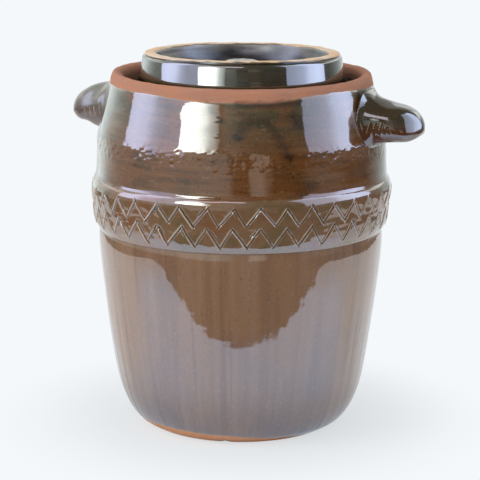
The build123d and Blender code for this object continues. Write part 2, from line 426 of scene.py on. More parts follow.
# Above the band: the glaze was brushed round, olive under the rim and warm amber brown lower down. Its clear
# skin is as glassy as a lead-like bright glaze.
upperGlaze = {
    **terracotta,
    "coatIor": 2.0, "coatRoughness": 0.03,
    "lowMm": 231, "highMm": 263, "lowHex": "#724212", "highHex": "#52472c",
    "grains": {
        "streaks": (4.5, (11, 11, 1), 4), "clouds": (32, (1, 1, 0.6), 3), "specks": (1.5, (1, 1, 1), 2),
        "flecks": (2.4, (2.4, 2.4, 1), 3), "peel": (1.6, (1, 1, 1), 2), "brushed": (4.5, (9, 9, 1), 3),
    },
    "tints": (
        ("clouds", 0.5, 0.64, 0.55, "#7c4610"), ("clouds", 0.47, 0.34, 0.55, "#42301c"),
        ("streaks", 0.46, 0.68, 0.4, "#86603a"), ("streaks", 0.46, 0.28, 0.5, "#38220e"),
        ("flecks", 0.6, 0.74, 0.45, "#9a7c50"), ("specks", 0.58, 0.7, 0.7, "#1c1008"),
    ),
    "thinHex": "#c49a68",
    # the dark of pooled glaze, and of the painted shade in strokes, the lid's groove and the foot's chip
    "pooledAndShadeHex": "#1c110a",
    "depthsMm": {"peel": 0.012, "brushed": 0.035},
}
# Lugs: the glaze lies thicker, red brown underneath and dark olive on top, partly its own colour and partly a
# painted dark reflection of the room above; the left one has a hazier skin and is painted paler grey, a
# painted sheen.
lugGlaze = {
    **upperGlaze,
    # darker olive towards the top: partly the glaze's colour, partly painted dark reflection
    "lowMm": 247, "highMm": 256, "lowHex": "#5c3216", "highHex": "#3a321a",
    "tints": (("clouds", 0.5, 0.66, 0.4, "#4c3a20"), ("specks", 0.58, 0.7, 0.6, "#1c1008")),
    "thinHex": "#dcc09c",
}
hazyLugGlaze = {
    **lugGlaze,
    "coatIor": 1.9, "coatRoughness": 0.32,
    # paler grey than the right lug: painted sheen
    "lowHex": "#5c4438", "highHex": "#66604e",
    "depthsMm": {"peel": 0.05, "brushed": 0.05},
}
# Band: the glaze pools in the strokes, which are also painted darker as shade, and breaks to tan on their
# burrs.
bandGlaze = {
    **upperGlaze,
    "lowMm": 158, "highMm": 200, "lowHex": "#8a6a50", "highHex": "#7b5b3e",
    "grains": {**upperGlaze["grains"], "clouds": (20, (1, 1, 0.8), 3)},
    "tints": (
        ("clouds", 0.5, 0.66, 0.6, "#86512a"), ("clouds", 0.5, 0.34, 0.5, "#5f5230"),
        ("streaks", 0.45, 0.66, 0.3, "#8a6c4c"), ("flecks", 0.64, 0.76, 0.35, "#b0906a"),
        ("specks", 0.6, 0.72, 0.5, "#2a1a0e"),
    ),
    "thinHex": "#ecccaa",
    "depthsMm": {"peel": 0.014, "brushed": 0.015},
}
# Below the band: thinner glaze that ran down in streaks, with a fine dimpled skin.
lowerGlaze = {
    **upperGlaze,
    # the bare foot's clay is the jar's clay painted paler: painted light for the paper's bounce under the
    # foot
    "clayHex": "#e4ac88", "clayWarmHex": "#e0a47c", "clayDarkHex": "#a87454", "clayPaleHex": "#ecd0b8",
    "lowMm": 0, "highMm": 110, "lowHex": "#725a50", "highHex": "#967154",
    "grains": {
        "streaks": (10, (1, 1, 16), 1), "runs": (4.5, (1, 1, 30), 1), "clouds": (45, (1, 1, 1.4), 3),
        "specks": (1.4, (1, 1, 1.2), 2), "flecks": (1.8, (1, 1, 1.6), 3), "peel": (1.5, (1, 1, 1), 2),
        "brushed": (7.0, (1, 1, 12), 2),
    },
    "tints": (
        ("clouds", 0.46, 0.7, 0.15, "#8c6238"), ("streaks", 0.5, 0.66, 0.16, "#a08a80"),
        ("streaks", 0.48, 0.34, 0.2, "#5c463e"), ("runs", 0.6, 0.74, 0.28, "#5c463e"),
        ("flecks", 0.58, 0.74, 0.25, "#b0a098"), ("specks", 0.58, 0.72, 0.35, "#4a3830"),
    ),
    "depthsMm": {"peel": 0.016, "brushed": 0.012},
}
# Lid: a smoother, darker olive, glassier than the jar.
lidGlaze = {
    **upperGlaze,
    **creamClay,
    "coatIor": 2.3,
    "lowMm": 276, "highMm": 300, "lowHex": "#443a22", "highHex": "#413a28",
    "grains": {**upperGlaze["grains"], "clouds": (22, (1, 1, 1), 3)},
    "tints": (
        ("clouds", 0.48, 0.7, 0.5, "#33381f"), ("streaks", 0.5, 0.7, 0.3, "#544a30"),
        ("specks", 0.6, 0.72, 0.4, "#1e180e"),
    ),
    "depthsMm": {"peel": 0.006, "brushed": 0.008},
}
# Inside the dish the glaze is a dark satin, painted paler grey towards the rim as a painted reflection.
dishGlaze = {
    **lidGlaze,
    "coatIor": 1.7, "coatRoughness": 0.3,
    # paler towards the rim: painted reflection
    "lowMm": 292, "highMm": 300, "lowHex": "#171613", "highHex": "#84827a",
    "tints": (("specks", 0.6, 0.72, 0.25, "#24231f"),),
    "depthsMm": {"peel": 0.01, "brushed": 0.006},
}
# Over the knob the glaze is painted pale grey: a painted highlight for the sky that its top mirrors.
knobGlaze = {
    **dishGlaze,
    "lowHex": "#bcbab2", "highHex": "#c6c4bc",
    "tints": (("clouds", 0.46, 0.7, 0.4, "#b0aaa0"), ("specks", 0.6, 0.72, 0.25, "#5c5a54")),
}

materials = {
    "upper": glazedStoneware("brushedIronGlaze", upperGlaze),
    "right": glazedStoneware("thickIronGlaze", lugGlaze),
    "left": glazedStoneware("hazyIronGlazePaintedSheen", hazyLugGlaze),
    "band": glazedStoneware("pooledAndShadedIronGlaze", bandGlaze),
    "lower": glazedStoneware("runIronGlaze", lowerGlaze),
    "lid": glazedStoneware("oliveIronGlaze", lidGlaze),
    "dish": glazedStoneware("satinDarkGlaze", dishGlaze),
    "knob": glazedStoneware("paleKnobGlazePaintedHighlight", knobGlaze),
}
print("materials ready:", ", ".join(material.name for material in materials.values()))


def dress(piece, material, node, body, inside=None):
    # inside: a second material, and a test on the faces' middles (mm) that says which wear it
    piece.data.materials.append(materials[material])
    if inside:
        second, worn = inside
        piece.data.materials.append(materials[second])
        middles = np.empty(3 * len(piece.data.polygons))
        piece.data.polygons.foreach_get("center", middles)
        chosen = worn(middles.reshape(-1, 3) / mm).astype(np.int32)
        piece.data.polygons.foreach_set("material_index", chosen)
    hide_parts(node)
    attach(piece, body)
    print("built", piece.name, len(piece.data.vertices), "points")


# The jar below the band

lower = {
    "footRadius": 75.6,
    "wall": 9.5,
    "floor": 13.0,
    # where the inside rounds into the floor: from the wall's end, then from the foot's radius and the floor
    "cornerMm": ((-4, -9), (-12, 1), (-24, 0)),
    "bareFootMm": (-0.4, 9.4, 262, 1.3),  # the glaze line: height, sway, degrees of its highest, least height
    "bareWander": (0.35, 80, 60, 8, 12),
    "reliefFromMm": (1, 8),  # heights over which the relief grows above the foot
    "thrownShare": 0.3,
    "runs": (0.075, 8.0, 260, 30, 11),  # relief of the runs in the glaze
    "runsDeepenMm": (120, 60),
    "runsHighShare": 0.35,
    "chip": (-74.6, 1.0, 1.6),  # degrees round the jar, height and size in mm of a chip in the foot; its hollow is also painted dark, a painted shadow where the foot stands off the floor
    "chipStretch": 1.7,
    "fineness": (480, 0.6),
}
# up the wall from the foot to the belly, and across from the foot's radius to the belly's
lowerShares = (
    (0, 0), (0.032, 0.215), (0.09, 0.395), (0.17, 0.54), (0.26, 0.64), (0.5, 0.81), (0.72, 0.925),
    (0.87, 0.982),
)
swell = bellyRadius - lower["footRadius"]
lowerCurve = [(lower["footRadius"] + swell * across, bandBottom * up) for up, across in lowerShares]
# just under the band the wall stands upright and draws in a little
drawnIn = ((0.1, 11), (0.15, 5), (0.5, 0))
lowerCurve += [(bellyRadius - inwards, bandBottom - down) for inwards, down in drawnIn]
seatRadius = bellyRadius - 1.3  # the ledge that the band is pressed over


def buildLower():
    foot, floor = lower["footRadius"], lower["floor"]
    inside = [(r - lower["wall"], z) for r, z in lowerCurve[3:]][::-1]
    (cornerIn, cornerDown), *toFloor = lower["cornerMm"]
    corner = [(inside[-1][0] + cornerIn, inside[-1][1] + cornerDown)]
    corner += [(foot + across, floor + up) for across, up in toFloor]
    seat = [(seatRadius, bandBottom + 1), (seatRadius, joinHeight), (inside[0][0], joinHeight)]
    runs = [
        (straightLine([(0, 0), lowerCurve[0]]), 9),
        (smoothLine(lowerCurve), 1.3),
        (straightLine(seat), 5),
        (smoothLine(inside + corner), 6),
        (straightLine([corner[-1], (0, floor)]), 9),
    ]

    def relief(angles, height, radius, outward):
        outside = smoothStep(0.2, 0.6, outward) * smoothStep(*lower["reliefFromMm"], height)
        high = lower["runsHighShare"]
        deeper = high + (1 - high) * smoothStep(*lower["runsDeepenMm"], height)
        flutes = ripples(angles, height, lower["runs"]) * deeper
        dents = outside * (thrownRelief(angles, height, lower["thrownShare"]) + flutes)
        return dents - lower["chip"][2] * chip(angles, height, radius, outward)

    def chip(angles, height, radius, outward):
        where, level, sizeMm = lower["chip"]
        across = np.radians((np.degrees(angles) - where + 180) % 360 - 180) * foot
        hollow = np.exp(-((across / (lower["chipStretch"] * sizeMm)) ** 2) - ((height - level) / sizeMm) ** 2)
        return hollow * smoothStep(-0.2, 0.2, outward)

    def bare(angles, height, radius, outward):
        level, sway, where, least = lower["bareFootMm"]
        line = np.maximum(level + sway * np.cos(angles - math.radians(where)), least)
        below = line + ripples(angles, 0 * angles, lower["bareWander"]) - height
        # the whole of the inside is glazed
        return np.where(outward < -0.2, np.minimum(below, allGlazed), below)

    # the chip's hollow is also painted dark: painted shadow under the foot
    layers = {"bareClay": bare, "strokeDepth": chip}
    piece = turnedPiece("jarLowerWall", lower["fineness"], runs, relief, layers, closed=False)
    dress(piece, "lower", "jar_lower", "jar")


# The jar above the band, up to its rim

upper = {
    "wall": 9.5,
    "rimRadius": 104.6,
    "rimWidth": 10.4,
    "rimDrop": 8.5,
    "bendHeight": 238.5,  # the wall stands nearly upright below this and leans in above it
    # from the shoulder's radius and the band's top: the seat's end, then the fillet into the wall
    "filletMm": ((1.1, -2.4), (1.35, -1.5), (0.35, 0.1), (-0.05, 2.6)),
    "seatDrop": 4.0,
    "channelWallMm": ((95.2, 274.5), (98.6, 262), (101.6, 252)),  # the rim's inner face, down to the shelf
    "reliefFromMm": (203, 207),
    "glazeThicknessMm": 0.22,
    "glazeWander": (0.16, 40, 60, 10, 21),
    "innerGlazeDrop": 13.0,  # from the rim's top to the glaze line inside the channel
    "innerWander": (1.2, 60, 60, 8, 23),
    "pittedMm": (219, 229, 237, 241),  # rough glaze just under the bend, between these heights
    "pits": (0.085, 6, 5, 50, 24),
    "finePits": (0.06, 3.4, 2.8, 90, 27),
    "fingers": (0.12, 34, 12, 16, 22),  # finger marks on the rim
    "fingersFromMm": (-6, 2),  # up from the wall's end
    "thrownOnRim": 0.4,
    "rimDipMm": 2.0,  # the rim sank a little at the front in the kiln
    "crestFromMm": (3, 6.5),
    "raggedRuns": (0.35, 9, 6, 20, 26),
    "fineness": (560, 0.45),
}
wallEnd = rimHeight - upper["rimDrop"]
# in from the shoulder's radius, and up from the bend
wallFromBend = ((0.3, -25.5), (0.65, -16.5), (1.0, -7.5), (1.4, -1.5), (2.35, 2.2), (7.5, 20))
upperCurve = [(shoulderRadius, bandTop)]
upperCurve += [(shoulderRadius - inwards, upper["bendHeight"] + up) for inwards, up in wallFromBend]
upperCurve += [(upper["rimRadius"], wallEnd)]
# shares of the rim's width inwards and of its drop upwards
rimShares = (
    (0, 0), (0.05, 0.33), (0.14, 0.66), (0.28, 0.86), (0.46, 0.9), (0.66, 0.84), (0.88, 0.68),
    (0.98, 0.42), (1, 0.1),
)
rimCurve = [
    (upper["rimRadius"] - upper["rimWidth"] * inwards, wallEnd + upper["rimDrop"] * up)
    for inwards, up in rimShares
]
# degrees round the jar and the height of the line where the rim's glaze was wiped off
glazeLine = (
    (-145, 276.8), (-128, 276.4), (-117, 276.9), (-106, 277.0), (-92, 274.8), (-81, 274.1), (-71, 273.7),
    (-61, 273.8), (-51, 274.4), (-42, 276.4), (-35, 278.3), (-24, 278.8), (-12, 278.2), (15, 276.5),
    (50, 275.2), (85, 276.9), (120, 274.6), (160, 275.6), (190, 277.0),
)
# where fingers and brush left the glaze thick and dark: the path as (degrees, mm), half width in mm, strength
arch = ((-68, 249), (-65.4, 256), (-61.7, 261), (-57.7, 260.3), (-54.4, 256), (-51.5, 248), (-48.3, 235))
thickRuns = [
    (arch, 5.2, 0.5),
    (((-68.4, 249.8), (-67, 248.6)), 3.2, 0.8),
    (((-49.4, 236), (-47.4, 233.5)), 2.8, 0.75),
    (((-80.2, 273), (-78.4, 268.5), (-74.4, 261.5)), 2.4, 0.7),
    (((-45, 261), (-41.5, 256)), 6.0, 0.6),
    (((-68, 273.4), (-55, 273.0), (-42, 273.4)), 3.0, 0.6),
]


def otherRuns():
    # arches and dabs like those at the front, at random round the rest of the wall
    rng = np.random.default_rng(seed + 25)
    found = []
    for start in np.arange(-5, 250, 27.0):
        left, low = start + rng.uniform(-6, 6), rng.uniform(232, 252)
        wide, tall = rng.uniform(7, 13), rng.uniform(10, 18)
        bow = [(left + wide * (1 - math.cos(t)), low + tall * math.sin(t)) for t in np.linspace(0.2, 2.9, 7)]
        found.append((bow, rng.uniform(2.2, 3.4), rng.uniform(0.3, 0.6)))
        dab = (bow[-1], (bow[-1][0] + 1.6, bow[-1][1] - 3))
        found.append((dab, rng.uniform(2.4, 4.5), rng.uniform(0.5, 0.8)))
    return found


def glazeEdge(angles):
    return aroundTable(angles, glazeLine) + ripples(angles, 0 * angles, upper["glazeWander"])


def buildUpper():
    fillet = [(shoulderRadius + across, bandTop + up) for across, up in upper["filletMm"]]
    innerFace = [rimCurve[-1], *upper["channelWallMm"], (shelfRadius, shelfTop)]
    under = (bellyRadius - upper["wall"], joinHeight)
    runs = [
        (straightLine([(seatRadius, joinHeight), (seatRadius, bandTop - upper["seatDrop"]), fillet[0]]), 5),
        (smoothLine(fillet[1:] + upperCurve[1:] + rimCurve[1:]), 1.0),
        (smoothLine(innerFace), 2.5),
        (straightLine([innerFace[-1], (shelfRadius, shelfBottom), under]), 6),
        (straightLine([under, (seatRadius, joinHeight)]), 6),
    ]

    def relief(angles, height, radius, outward):
        outside = outerFace(outward) * smoothStep(*upper["reliefFromMm"], height)
        glazed = smoothStep(-0.8, 0.8, glazeEdge(angles) - height) * outside
        rim = smoothStep(*upper["fingersFromMm"], height - wallEnd)
        fingers = ripples(angles, height, upper["fingers"]) * rim
        pits = ripples(angles, height, upper["pits"]) + ripples(angles, height, upper["finePits"])
        pits = pits * outside * within(upper["pittedMm"], height)
        crest = smoothStep(*upper["crestFromMm"], height - wallEnd)
        dip = upper["rimDipMm"] * np.clip(towardsPhoto(angles), 0, 1) ** 1.5 * crest
        wall = outside * thrownRelief(angles, height) * (1 - (1 - upper["thrownOnRim"]) * rim)
        return wall + fingers + pits - dip + upper["glazeThicknessMm"] * (glazed - outside)

    def bare(angles, height, radius, outward):
        outer = height - glazeEdge(angles)
        wander = ripples(angles, 0 * angles, upper["innerWander"])
        inner = height - (rimHeight - upper["innerGlazeDrop"] + wander)
        return np.where(radius > upper["rimRadius"] - upper["rimWidth"] / 2, outer, inner)

    def thick(angles, height, radius, outward):
        total = 0 * angles * height
        ragged = np.clip(1 + ripples(angles, height, upper["raggedRuns"]), 0.4, 2)
        for path, halfWidth, strength in thickRuns + otherRuns():
            for (a, low), (b, high) in zip(path[:-1], path[1:]):
                across = np.radians((np.degrees(angles) - a + 180) % 360 - 180) * shoulderRadius
                dx, dy = math.radians(b - a) * shoulderRadius, high - low
                t = np.clip((across * dx + (height - low) * dy) / (dx * dx + dy * dy), 0, 1)
                distance = np.hypot(across - t * dx, height - low - t * dy)
                total = np.maximum(total, strength * np.exp(-((distance / halfWidth) ** 2) * ragged))
        return total * outerFace(outward)

    layers = {"bareClay": bare, "strokeDepth": thick}
    piece = turnedPiece("jarUpperWall", upper["fineness"], runs, relief, layers)
    dress(piece, "upper", "jar_upper", "jar")


def glazedOver(angles, height, radius, outward):
    return allGlazed + 0 * height


# The water channel: its floor and the collar round the mouth

channel = {
    "coveMm": ((0.9, 2.8), (3.2, 0.7), (6.0, 0.0)),  # in from the shelf's radius, up from the channel's floor
    "intoWall": 0.6,
    "collarWall": 7.5,
    "intoShelf": 1.0,
    "shelfFineness": (200, 0.4),
    "collarFineness": (200, 0.3),
}


def buildChannel():
    cove = [(shelfRadius, shelfTop)]
    cove += [(shelfRadius - inwards, channelFloor + up) for inwards, up in channel["coveMm"]]
    bore = collarRadius - channel["collarWall"]
    outer = shelfRadius + channel["intoWall"]
    shelf = [
        (straightLine([(bore, shelfBottom), (outer, shelfBottom), (outer, shelfTop)]), 5),
        (smoothLine(cove), 1.0),
        (straightLine([cove[-1], (bore, channelFloor), (bore, shelfBottom)]), 3),
    ]
    layers = {"bareClay": glazedOver}
    piece = turnedPiece("channelShelf", channel["shelfFineness"], shelf, None, layers)
    dress(piece, "upper", "channel_shelf", "jar")

    lip = channel["collarWall"] / 2
    middle, level, foot = bore + lip, collarTop - lip, channelFloor - channel["intoShelf"]
    turn = [(middle + lip * math.cos(a), level + lip * math.sin(a)) for a in np.radians(range(0, 181, 30))]
    collar = [
        (straightLine([(bore, foot), (collarRadius, foot), turn[0]]), 2.5),
        (smoothLine(turn), 0.8),
        (straightLine([turn[-1], (bore, foot)]), 3),
    ]
    piece = turnedPiece("neckCollar", channel["collarFineness"], collar, None, layers)
    dress(piece, "upper", "neck_collar", "jar")


# The zigzag band

band = {
    "teeth": 37,
    "firstTooth": -68.7,  # degrees round the jar of an apex that faces the photograph's camera
    "rows": ((196.6, 182.6), (180.8, 166.2)),  # mm, tops and tips of the two rows
    "apexSway": 0.35,  # degrees by which the hand missed
    "tipSway": 0.4,
    "missMm": 0.55,
    "overrun": (-0.04, 0.1),  # shares of a stroke by which it stops short or runs on
    "pressure": (0.65, 1.1),
    "redrawn": (0.24, 0.8, 1.3),  # share of the strokes drawn twice, and how many degrees aside
    "cut": (1.1, 0.7, 0.5),  # width, depth and burr in mm
    "inset": 1.0,  # the strokes' lengths are measured this far inside the band's radius
    "overlap": 30.0,  # and go on this far past the back, where the girth's two ends meet
    "wavy": (0.1875, 70, 60, 14, 32),  # slow unevenness of the face
    "faceMm": (161, 166, 200, 204),  # heights between which it is uneven
    "edge": (0.15, 45, 60, 14, 33),  # the ledge on top
    "edgeFromMm": (190, 199),
    "lumps": (0.06, 14, 9, 24, 34),
    "lumpsToMm": (200, 192),
    "backMm": (-0.3, 0.6, 0.4),  # the hidden back: out from the seat, down from the top, up from the bottom
    "columnsPerTooth": 44,
    "softenMm": 0.3,
}
bandCurve = []
# out from a radius and up from one of the band's edges
for radius, level, places in (
    (seatRadius, bandBottom, ((1.0, -0.3),)),
    (bellyRadius, bandBottom, ((0.3, 0.4), (1.6, 3.0), (3.0, 6.0), (3.8, 9.5), (5.0, 23.0))),
    (bandRadius, bandTop, ((-0.05, -10.0), (-0.1, -6.6), (-0.7, -4.4))),
    (shoulderRadius, bandTop, ((1.9, -2.4), (0.5, -0.8), (-0.4, 0.4))),
):
    bandCurve += [(radius + out, level + up) for out, up in places]


def zigzagStrokes():
    # every stroke by hand: its ends miss the joins a little, some are drawn twice and some stop short
    rng = np.random.default_rng(seed + 31)
    teeth, first, miss = band["teeth"], band["firstTooth"], band["missMm"]
    step = 360 / teeth
    twice, least, most = band["redrawn"]
    strokes = []
    for top, tip in band["rows"]:
        apexes = [first + step * k + rng.normal(0, band["apexSway"]) for k in range(teeth)]
        tips = [first + step * (k + 0.5) + rng.normal(0, band["tipSway"]) for k in range(teeth)]
        apexes.append(apexes[0] + 360)
        for k in range(teeth):
            apex = (apexes[k], top + rng.normal(0, miss))
            down = (tips[k], tip + rng.normal(0, miss))
            for start, end in ((apex, down), ((apexes[k + 1], top), down)):
                over = rng.uniform(*band["overrun"], 2)
                a = [start[i] + (start[i] - end[i]) * over[0] for i in (0, 1)]
                b = [end[i] + (end[i] - start[i]) * over[1] for i in (0, 1)]
                depth = rng.uniform(*band["pressure"])
                strokes.append((a, b, depth))
                if rng.random() < twice:
                    aside = rng.choice((-1, 1)) * rng.uniform(least, most)
                    partA = [a[0] + aside, a[1] - 0.5]
                    partB = [b[0] * 0.45 + a[0] * 0.55 + aside, b[1] * 0.45 + a[1] * 0.55]
                    strokes.append((partA, partB, depth * 0.7))
    return strokes


def carve(across, up, strokes, groove, depth, burr):
    # strokes on a grid of places (mm): the push, how thin the glaze is on the burrs, and the cut's share
    cut, raised = np.zeros(across.shape), np.zeros(across.shape)
    reach = 2.6
    for (ax, ay), (bx, by), strength in strokes:
        near = (across > min(ax, bx) - reach) & (across < max(ax, bx) + reach)
        near &= (up > min(ay, by) - reach) & (up < max(ay, by) + reach)
        if not near.any():
            continue
        px, py = across[near], up[near]
        dx, dy = bx - ax, by - ay
        length = math.hypot(dx, dy)
        t = ((px - ax) * dx + (py - ay) * dy) / length**2
        side = ((px - ax) * dy - (py - ay) * dx) / length
        beyond = np.maximum(0, np.maximum(-t, t - 1)) * length
        distance = np.hypot(side, beyond)
        fade = smoothStep(0, 0.12, t + 0.06) * smoothStep(0, 0.2, 1.12 - t)
        here = strength * depth * np.exp(-((distance / (groove / 2)) ** 2)) * np.maximum(fade, 0.25)
        lifted = strength * burr * np.exp(-(((distance - groove * 0.95) / (groove * 0.42)) ** 2))
        lifted *= np.where(side > 0, 1.0, 0.45) * np.clip(fade, 0, 1)
        cut[near] = np.maximum(cut[near], here)
        raised[near] = np.maximum(raised[near], lifted)
    raised *= np.exp(-((cut / (0.35 * depth)) ** 2))
    return raised - cut, np.clip(raised / burr, 0, 1) ** 1.5, np.clip(cut / depth, 0, 1)


def buildBand():
    out, down, up = band["backMm"]
    back = [(seatRadius + out, bandTop - down), (seatRadius + out, bandBottom + up)]
    runs = [
        (smoothLine(bandCurve), 0.5),
        (straightLine([bandCurve[-1], *back, bandCurve[0]]), 6),
    ]
    girthRadius = bandRadius - band["inset"]
    toMm = math.radians(1) * girthRadius
    strokes = []
    for a, b, strength in zigzagStrokes():
        for turn in (-360, 0, 360):
            start, end = (((degrees + turn) * toMm, level) for degrees, level in (a, b))
            if abs(start[0]) < math.pi * girthRadius + band["overlap"]:
                strokes.append((start, end, strength))
    found = []

    def marks(angles, height):
        # carved once, then kept for the other layers
        if not found:
            across = ((angles + math.pi) % (2 * math.pi) - math.pi) * girthRadius + 0 * height
            found.extend(carve(across, height + 0 * angles, strokes, *band["cut"]))
        return found

    def relief(angles, height, radius, outward):
        uneven = ripples(angles, height, band["wavy"])
        uneven = uneven + ripples(angles, 0 * height, band["edge"]) * smoothStep(*band["edgeFromMm"], height)
        uneven = uneven + ripples(angles, height, band["lumps"]) * smoothStep(*band["lumpsToMm"], height)
        return outerFace(outward) * (marks(angles, height)[0] + within(band["faceMm"], height) * uneven)

    def thin(angles, height, radius, outward):
        return marks(angles, height)[1] * outerFace(outward)

    def deep(angles, height, radius, outward):
        return marks(angles, height)[2] * outerFace(outward)

    fineness = (band["teeth"] * band["columnsPerTooth"], band["softenMm"])
    layers = {"bareClay": glazedOver, "thinGlaze": thin, "strokeDepth": deep}
    piece = turnedPiece("zigzagBand", fineness, runs, relief, layers)
    dress(piece, "band", "zigzag_band", "jar")


# Lug handles

handles = {
    "level": 249.5,
    "projection": 42.0,
    "width": 47.0,
    "rise": 22.5,
    "fall": 12.8,
    "topSmearMm": 12.0,  # clay smoothed up onto the wall above the lug
    "sideSmearMm": 4.5,
    "smearWidening": 0.8,
    "smearReachMm": 5.5,
    "underRimMm": 1.0,  # the smear stops this far under the end of the wall
    "tipDroopMm": {"right": 0.0, "left": 3.2},
    "squareness": {"over": 0.76, "under": 0.43},  # squarer below its widest line than above it
    "marks": {"right": (18.2, 26.8), "left": (17.0, 33.0)},  # from and to, along the girth
    "markGirthMm": 17.0,  # radius at which the girth is measured
    "markCount": 4,
    "markStartMm": 3.2,
    "markStepMm": 4.8,
    "markLeanMm": 2.9,
    "markCut": (1.1, 0.4, 0.35),  # width, depth and burr in mm
    "lumpMm": {"right": 0.09, "left": 0.2},
    "lumpWaves": 18,
    "spacingMm": (42, 23, 22),  # weights of reach, width and rise when the sections are spaced
    "drawnMm": 40.0,  # scale at which the sections' places are smoothed
    "stations": 84,
    "around": 150,
}
# share of the way out from the wall to the tip, then of half the width, of the rise and of the fall there,
# and how high the section's widest line stands, in mm
handleShares = {
    "right": (
        (-0.12, 1, 1, 1, 5), (0.12, 1, 0.9, 0.98, 5), (0.36, 0.99, 0.79, 0.93, 4.5),
        (0.58, 0.93, 0.73, 0.87, 2), (0.76, 0.79, 0.62, 0.78, -1), (0.89, 0.53, 0.42, 0.58, -2.4),
        (0.96, 0.25, 0.2, 0.32, -1.6), (0.985, 0.02, -0.02, 0.06, -0.6),
    ),
    "left": (
        (-0.12, 1, 1, 1.32, 5), (0.12, 0.95, 0.93, 1.3, 5), (0.35, 0.88, 0.85, 1.18, 3),
        (0.55, 0.79, 0.79, 0.9, 1), (0.72, 0.65, 0.66, 0.72, -1), (0.85, 0.45, 0.43, 0.5, -2),
        (0.92, 0.22, 0.2, 0.26, -1.4), (0.945, 0.02, -0.02, 0.06, -0.6),
    ),
}


def handleSections(side):
    # out from the wall, half width, rise, fall and widest line at each station along the lug
    shares = np.array(handleShares[side], float)
    apart = np.linalg.norm(np.diff(shares[:, :3] * handles["spacingMm"], axis=0), axis=1)
    knots = np.concatenate([[0], np.cumsum(apart)])
    where = np.linspace(0, knots[-1], handles["stations"])
    drawn = handles["drawnMm"]
    values = []
    for column, scale in enumerate((drawn, handles["width"] / 2, handles["rise"], handles["fall"], 1)):
        line = smoothLine(np.stack([knots, shares[:, column] * scale], axis=1))
        values.append(np.interp(where, line[:, 0], line[:, 1])[:, None])
    return values[0] / drawn, *values[1:]


def handleMarks(side, along, girth, rng):
    # zigzag strokes pressed into the face towards the camera and the one behind
    push, thin, deep = np.zeros_like(girth), np.zeros_like(girth), np.zeros_like(girth)
    for facingSide in (-1, 1):
        strokes = []
        for k in range(handles["markCount"]):
            left = handles["markStartMm"] + handles["markStepMm"] * k + rng.normal(0, 0.4)
            middle, right = left + handles["markLeanMm"], left + handles["markStepMm"]
            low, high = (facingSide * mark + rng.normal(0, 0.7) for mark in handles["marks"][side])
            strokes.append(((left, low), (middle, high), rng.uniform(0.7, 1.0)))
            strokes.append(((middle, high), (right, low), rng.uniform(0.4, 0.9)))
        more, burrs, cuts = carve(along, girth, strokes, *handles["markCut"])
        push, thin, deep = push + more, np.maximum(thin, burrs * 0.7), np.maximum(deep, cuts * 0.4)
    return push, thin, deep


def buildHandle(side):
    wall = float(radiusOn(upperCurve, handles["level"]))
    out, halfWidth, rise, fall, widest = handleSections(side)
    v = np.linspace(0, 2 * math.pi, handles["around"], endpoint=False)[None, :]
    under = np.sin(v) < 0
    along = handles["projection"] * out + 0 * v
    x = wall + along
    square = np.where(under, handles["squareness"]["under"], handles["squareness"]["over"])
    y = halfWidth * np.sign(np.cos(v)) * np.abs(np.cos(v)) ** square
    droop = handles["tipDroopMm"][side] * (np.clip(out, 0, 1) ** 1.6)
    z = handles["level"] + widest - droop + np.where(under, fall + widest, rise - widest) * np.sin(v)
    # the root is smeared onto the wall
    gap = np.hypot(x, y) - radiusOn(upperCurve + rimCurve[1:3], z)
    reach = np.exp(-np.clip(gap, 0, None) / handles["smearReachMm"])
    upwards = np.clip(np.sin(v), 0, 1) ** 2
    sideways = handles["sideSmearMm"]
    smear = reach**1.6 * (sideways + (handles["topSmearMm"] - sideways) * upwards)
    y = y + smear * np.cos(v) * handles["smearWidening"]
    z = np.minimum(z + smear * np.sin(v), wallEnd - handles["underRimMm"])
    # hand-pressed unevenness
    rng = np.random.default_rng(seed + (41 if side == "right" else 42))
    lump = np.zeros_like(z)
    for _ in range(handles["lumpWaves"]):
        lump += np.sin(rng.integers(1, 6) * v + rng.normal(0, 0.16) * x + rng.uniform(0, 6.28))
    lump *= handles["lumpMm"][side] * np.clip((out - 0.02) * 8, 0, 1) * np.clip((1 - out) * 6, 0, 1)
    y = y + lump * np.cos(v)
    z = z + lump * np.sin(v)
    girth = (v - math.pi * 1.5) * handles["markGirthMm"] + 0 * x
    push, thin, deep = handleMarks(side, along, girth, rng)
    y = y + push * np.cos(v)
    z = z + push * np.sin(v)
    points = np.stack([x, y, z], axis=2)
    points[-1] = points[-1].mean(0)
    facing = 1 if side == "right" else -1
    # rows run outwards here, so the order round is turned to keep the faces outward
    points = (points * (facing, facing, 1))[:, ::-1]
    layers = {"turned": points * mm, "bareClay": np.full(z.shape, allGlazed)}
    layers.update({"thinGlaze": thin[:, ::-1], "strokeDepth": deep[:, ::-1]})
    piece = meshFromGrid("lugHandle" + side.capitalize(), points, False, layers, poles=True)
    dress(piece, side, "lug_handle_" + side, "jar")


# The lid

